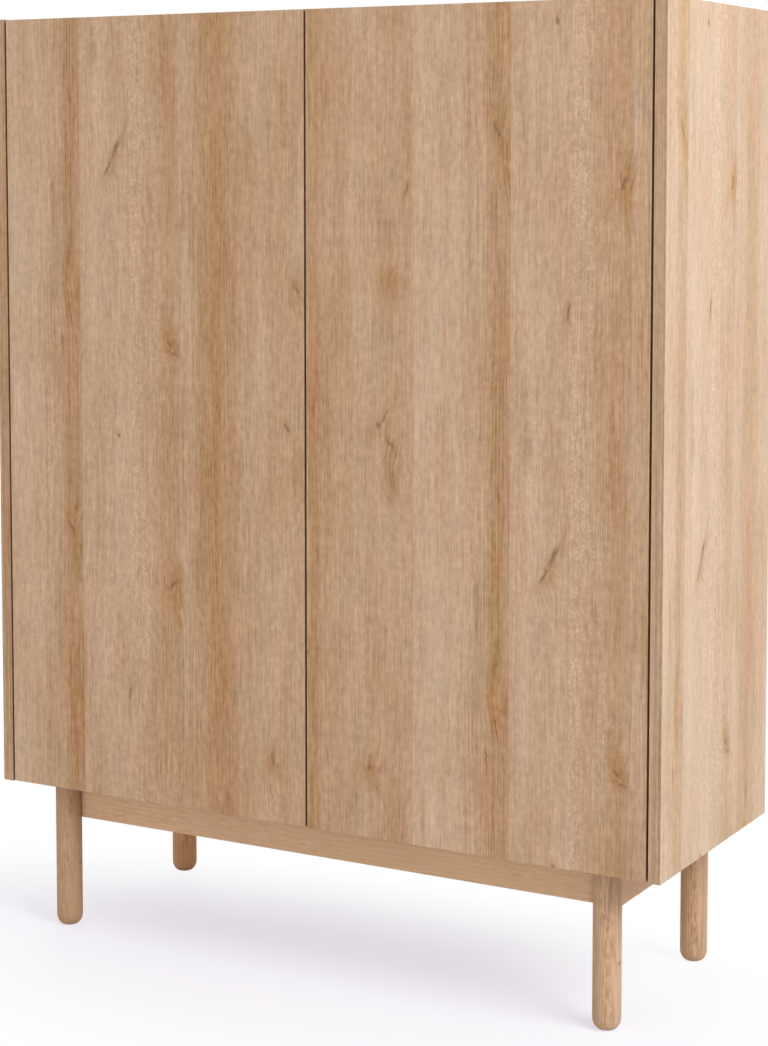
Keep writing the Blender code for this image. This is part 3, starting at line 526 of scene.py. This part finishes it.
def solid_oak(
    name, run, heart, lean, light=(1, 1, 1), bold=1.0, stripe=None, knot=None, joint=0.0
):
    """Solid oak cut so far from the tree's heart, with rings, pores along them and flecks.

    A stripe is the middle of a leg whose flecks lie in one upright band, a knot the place of a
    small dark one, and a joint how far from the middle of a rail the glued joints lie, near which
    the rail is darkened as painted shade in the creases. The light multiplies the colours; on the
    legs and rails it is painted light, lifting or lowering each piece for how light falls on it.
    """
    made, tree, shader = new_finish(name, 0.58, 1.46)
    across, depth, along = turned_point(tree, run)
    wander = grain(tree, across, depth, along, 14.0, 4.0, 2.0)
    slide = calculate(tree, "MULTIPLY", along, lean)
    from_heart = shading(tree, "CombineXYZ", {
        0: calculate(tree, "ADD", calculate(tree, "SUBTRACT", across, heart[0]), slide),
        1: calculate(tree, "SUBTRACT", depth, heart[1]),
    }).outputs[0]
    radius = shading(tree, "VectorMath", {0: from_heart}, operation="LENGTH").outputs["Value"]
    radius = calculate(
        tree, "MULTIPLY_ADD", calculate(tree, "SUBTRACT", wander, 0.5), 0.010, radius
    )
    ring = calculate(tree, "FRACT", calculate(tree, "DIVIDE", radius, RING_WIDTH))
    early = ranged(tree, calculate(tree, "ABSOLUTE", calculate(tree, "SUBTRACT", ring, 0.5)),
                   0.15, 0.5)
    hair = grain(tree, across, depth, along, 1100.0, 34.0, 2.0)
    ridge = grain(tree, across, depth, along, 330.0, 12.0, 3.0)
    cloud = grain(tree, across, depth, along, 40.0, 5.0, 1.0)
    fleck = grain(tree, across, depth, along, 260.0, 62.0, 2.0, 0.5, 0.8)
    flecked = ranged(tree, grain(tree, across, depth, along, 55.0, 7.0, 1.0), 0.44, 0.60)
    if stripe:
        aside = calculate(
            tree, "MULTIPLY", calculate(tree, "SUBTRACT", across, stripe[0]), STRIPE_TURN[0]
        )
        aside = calculate(
            tree, "MULTIPLY_ADD", calculate(tree, "SUBTRACT", depth, stripe[1]), STRIPE_TURN[1],
            aside,
        )
        aside = calculate(
            tree, "MULTIPLY_ADD", calculate(tree, "SUBTRACT", wander, 0.5), 0.012, aside
        )
        flecked = ranged(tree, calculate(tree, "ABSOLUTE", aside), 0.003, 0.010, 1.0, 0.25)
    tone = calculate(tree, "MULTIPLY_ADD", calculate(tree, "SUBTRACT", early, 0.5), 0.42 * bold,
                     0.43)
    fleck = calculate(tree, "MULTIPLY", calculate(tree, "SUBTRACT", fleck, 0.5), flecked)
    tone = calculate(tree, "MULTIPLY_ADD", fleck, 3.4 * bold, tone)
    for noise, weight in ((cloud, 0.9), (ridge, 0.9)):
        tone = calculate(
            tree, "MULTIPLY_ADD", calculate(tree, "SUBTRACT", noise, 0.5), weight * bold, tone
        )
    colour = coloured(tree, ranged(tree, tone, 0.0, 1.0, 0.0, 1.0, "LINEAR"),
                      [by * part for by, part in zip(light, SOLID_PALE)],
                      [by * part for by, part in zip(light, SOLID_DARK)])
    pore = calculate(tree, "MULTIPLY", ranged(tree, hair, 0.56, 0.70),
                     calculate(tree, "MULTIPLY_ADD", early, 0.6, 0.25))
    colour = coloured(tree, calculate(tree, "MULTIPLY", pore, 0.55 * bold), colour, PORE_BROWN)
    if knot:
        away = shading(tree, "Mapping", {
            "Vector": shading(tree, "CombineXYZ", {0: across, 1: depth, 2: along}).outputs[0],
            "Location": knot, "Scale": KNOT_REACH,
        }, vector_type="TEXTURE").outputs[0]
        away = shading(tree, "VectorMath", {0: away}, operation="LENGTH").outputs["Value"]
        away = calculate(tree, "MULTIPLY_ADD", ridge, 0.5, away)
        colour = coloured(tree, ranged(tree, away, 0.3, 1.5, 0.70, 0.0), colour, KNOT_BROWN)
    # Painted shade: the rail darkened towards dark brown near the legs, for the shade in the
    # creases
    if joint:
        from_middle = calculate(tree, "ABSOLUTE", along)
        dark = calculate(
            tree, "ADD", ranged(tree, from_middle, joint - JOINT_SHADOW, joint, 0.0, 0.30),
            ranged(tree, from_middle, joint - JOINT_LINE, joint, 0.0, 0.55),
        )
        colour = coloured(tree, dark, colour, PAINTED_SHADE_BROWN)
    tree.links.new(colour, shader.inputs["Base Color"])
    bump = shading(tree, "Bump", {
        "Strength": 0.3, "Distance": 0.0006,
        "Height": calculate(tree, "SUBTRACT", calculate(tree, "MULTIPLY", ridge, 0.5), pore),
    })
    tree.links.new(bump.outputs[0], shader.inputs["Normal"])
    return made


def choose(piece, what, test):
    """In edit mode, select only the vertices, edges or faces of a piece that pass a test."""
    bpy.ops.mesh.select_mode(type=what)
    bpy.ops.mesh.select_all(action="DESELECT")
    bpy.ops.object.mode_set(mode="OBJECT")
    mesh = piece.data
    if what == "FACE":
        for face in mesh.polygons:
            face.select = test(face.center, face.normal)
    elif what == "EDGE":
        for edge in mesh.edges:
            edge.select = all(test(mesh.vertices[end].co) for end in edge.vertices)
    else:
        for vertex in mesh.vertices:
            vertex.select = test(vertex.co)
    bpy.ops.object.mode_set(mode="EDIT")


def pick(piece):
    """Make a piece the only one selected and the active one."""
    bpy.ops.object.select_all(action="DESELECT")
    piece.select_set(True)
    bpy.context.view_layer.objects.active = piece


def settle(piece):
    """Put a finished piece's place, turn and scale into its mesh."""
    pick(piece)
    bpy.ops.object.transform_apply(location=True, rotation=True, scale=True)


def chisel(piece, low, high):
    """Cut a square hole between two corners out of a piece."""
    bpy.ops.mesh.primitive_cube_add(
        size=1, location=[(a + b) / 2 for a, b in zip(low, high)],
        scale=[abs(b - a) for a, b in zip(low, high)],
    )
    hole = bpy.context.object
    settle(hole)
    cut = piece.modifiers.new("hole", "BOOLEAN")
    cut.operation = "DIFFERENCE"
    cut.solver = "EXACT"
    cut.object = hole
    bpy.context.view_layer.objects.active = piece
    bpy.ops.object.modifier_apply(modifier=cut.name)
    bpy.data.objects.remove(hole)


# One post is turned with an evenly rounded foot, which is then drawn out downwards to its rise
CLOSE = 1e-5
unstretched = FOOT_RISE - FOOT_ROUNDING
bpy.ops.mesh.primitive_cylinder_add(
    vertices=LEG_SIDES, radius=LEG_RADIUS, depth=LEG_TOP - unstretched, end_fill_type="NGON",
    location=(0, 0, (LEG_TOP + unstretched) / 2),
)
post = bpy.context.object
settle(post)
bpy.ops.object.mode_set(mode="EDIT")
choose(post, "EDGE", lambda spot: spot.z < unstretched + CLOSE)
bpy.ops.mesh.bevel(offset=FOOT_ROUNDING, segments=9, profile=0.5, affect="EDGES")
choose(post, "VERT", lambda spot: spot.z < FOOT_RISE + CLOSE)
bpy.ops.transform.resize(
    value=(1, 1, FOOT_RISE / FOOT_ROUNDING), center_override=(0, 0, FOOT_RISE)
)
choose(post, "EDGE", lambda spot: spot.z > LEG_TOP - CLOSE)
bpy.ops.mesh.bevel(offset=TOP_EASING, segments=2, profile=0.5, affect="EDGES")
choose(post, "FACE", lambda spot, normal: abs(normal.z) > 0.999)
bpy.ops.mesh.inset(thickness=END_FACE_INSET)
bpy.ops.object.mode_set(mode="OBJECT")

# Each leg is a copy of the post with its own two mortises, put in its place
for end, inward_y in (("front", 1), ("rear", -1)):
    for side, inward_x in (("left", 1), ("right", -1)):
        pick(post)
        bpy.ops.object.duplicate(linked=False)
        leg = bpy.context.object
        leg.name = f"{end}_{side}_turned_leg"
        behind = inward_y * END_MORTISE_SHIFT
        chisel(leg, (inward_x * END_MORTISE_STOP, behind - MORTISE_HALF, MORTISE_FOOT),
               (inward_x * 2 * LEG_RADIUS, behind + MORTISE_HALF, MORTISE_TOP))
        aside = -inward_x * SIDE_MORTISE_SHIFT
        chisel(leg, (aside - MORTISE_HALF, inward_y * SIDE_MORTISE_STOP, MORTISE_FOOT),
               (aside + MORTISE_HALF, inward_y * 2 * LEG_RADIUS, MORTISE_TOP))
        middle = (-inward_x * LEG_X, -inward_y * LEG_Y)
        leg.location = (*middle, 0)
        settle(leg)
        bpy.ops.object.shade_smooth_by_angle(angle=math.radians(35))
        heart = [place + away for place, away in zip(middle, HEART_FROM_LEG)]
        # Each leg's lightness and tint is painted light
        light, bold, knot = LEG_OAK_AND_PAINTED_LIGHT[f"{end}_{side}"]
        leg.data.materials.append(solid_oak(
            f"{end}_{side}_leg_oak", "Z", heart, 0.03 * inward_x * inward_y, light, bold,
            middle if side == "right" else None, knot,
        ))
        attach(leg, "cabinet")
        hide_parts(f"{end}_{side}_leg")
bpy.data.objects.remove(post)


# The rails: solid oak between the legs, tenoned and glued into them. Their oak is lightened, the
# front one's most, as painted light against the shade under the body. The front one runs under
# the doors and is darker where it meets the round legs, as painted shade in the creases.
RAIL_JOINT = 0.4368
finish("front_rail", solid_oak(
    "front_rail_oak", "X", (0.05, 0.30), 0.005, (1.26, 1.33, 1.36), 0.35, joint=RAIL_JOINT))
finish("rear_rail", solid_oak(
    "rear_rail_oak", "X", (0.30, 0.26), -0.005, (1.10, 1.10, 1.10), 0.5))
finish("left_rail", solid_oak(
    "left_rail_oak", "Y", (0.26, -0.40), 0.01, (1.10, 1.10, 1.10), 0.5))
finish("right_rail", solid_oak(
    "right_rail_oak", "Y", (0.32, 0.55), -0.01, (1.20, 1.20, 1.20), 0.5))


# The corner blocks: sawn pine glued behind the rails, where they stiffen the leg frame. Each is
# held up to the bottom board by one zinc plated screw.
block_pine = solid_oak("block_pine", "X", (0.02, 0.10), 0.02, (1.15, 1.12, 1.05))


def plated(name, colour, roughness, brushed):
    """Plated steel, brushed a little along one way, with faint cloudy stains."""
    made, tree, shader = new_finish(name, roughness, 1.5, 1.0)
    across, depth, along = turned_point(tree, "Z")
    brush = grain(tree, across, depth, along, 700.0, 6000.0, 2.0)
    cloud = grain(tree, across, depth, along, 180.0, 180.0, 2.0)
    tint = ranged(tree, cloud, 0.3, 0.7, 0.93, 1.05, "LINEAR")
    colour = coloured(tree, 1.0, colour, shading(
        tree, "CombineColor", {0: tint, 1: tint, 2: tint}).outputs[0], "MULTIPLY")
    tree.links.new(colour, shader.inputs["Base Color"])
    tree.links.new(
        ranged(tree, cloud, 0.3, 0.7, roughness - 0.06, roughness + 0.08, "LINEAR"),
        shader.inputs["Roughness"],
    )
    bump = shading(tree, "Bump", {"Strength": brushed, "Distance": 0.0001, "Height": brush})
    tree.links.new(bump.outputs[0], shader.inputs["Normal"])
    return made


zinc = plated("screw_zinc", (0.58, 0.59, 0.60), 0.38, 0.05)
for end in ("front", "rear"):
    for side in ("left", "right"):
        finish(f"{end}_{side}_corner_block", block_pine)
        finish(f"{end}_{side}_base_screw", zinc)


# The hinges: pressed steel, nickel plated. Each has a plate screwed to the side, an arm that
# slides over it, a hooked link and a cup let into the door's back.
nickel = plated("hinge_nickel", (0.66, 0.65, 0.62), 0.27, 0.10)
for side in ("left", "right"):
    for level in ("lower", "middle", "upper"):
        for piece in ("plate", "arm", "link", "cup"):
            finish(f"{side}_{level}_hinge_{piece}", nickel)


# The push latches: a grey housing screwed under the top board, a white plunger that slides out of
# it, and a thin steel disc on the door's back where the plunger meets it.
latch_grey = plastic("latch_grey", (0.40, 0.40, 0.39), 0.42)
latch_white = plastic("latch_white", (0.74, 0.73, 0.70), 0.36)
strike_steel = plated("strike_steel", (0.66, 0.65, 0.63), 0.30, 0.08)
for side in ("left", "right"):
    finish(f"{side}_latch_housing", latch_grey)
    finish(f"{side}_latch_plunger", latch_white)
    finish(f"{side}_strike_plate", strike_steel)


bpy.context.view_layer.update()
